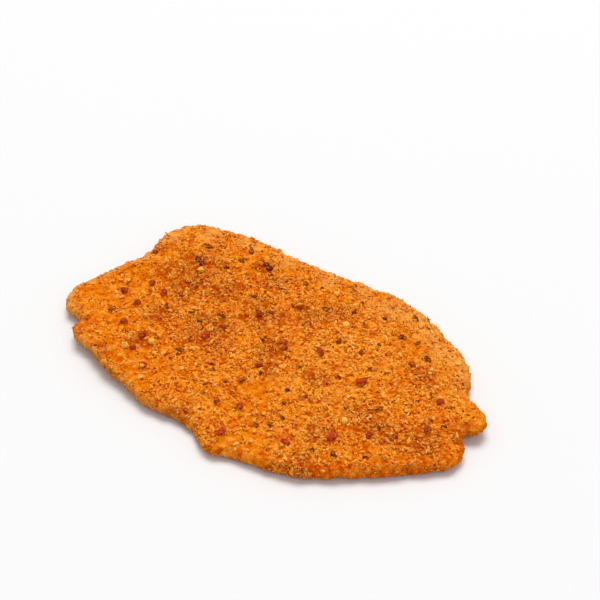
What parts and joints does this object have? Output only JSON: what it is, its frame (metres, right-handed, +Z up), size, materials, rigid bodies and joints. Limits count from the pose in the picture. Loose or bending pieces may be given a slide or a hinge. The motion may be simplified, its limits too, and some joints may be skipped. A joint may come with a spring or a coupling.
{
  "type": "breaded schnitzel",
  "caption": "Thin breaded schnitzel with a ragged outline, a spiced golden-orange breadcrumb crust and mustard seeds and herb flakes stuck in it.",
  "frame": {"origin": "on the table under the middle of the outline", "axes": "+X along the cutlet towards its forked end, +Z up through its thickness"},
  "size_m": [0.1711, 0.1089, 0.0109],
  "materials": {
    "crust": "coarse dry breadcrumbs, golden orange with paprika",
    "mustard_seed": "smooth, slightly glossy seed, red-brown or pale yellow",
    "herb": "dry crumpled leaf, dull green",
    "pepper_flake": "dry skin, dark red"
  },
  "bodies": {
    "root": {"schnitzel": "crust"}
  },
  "joints": []
}
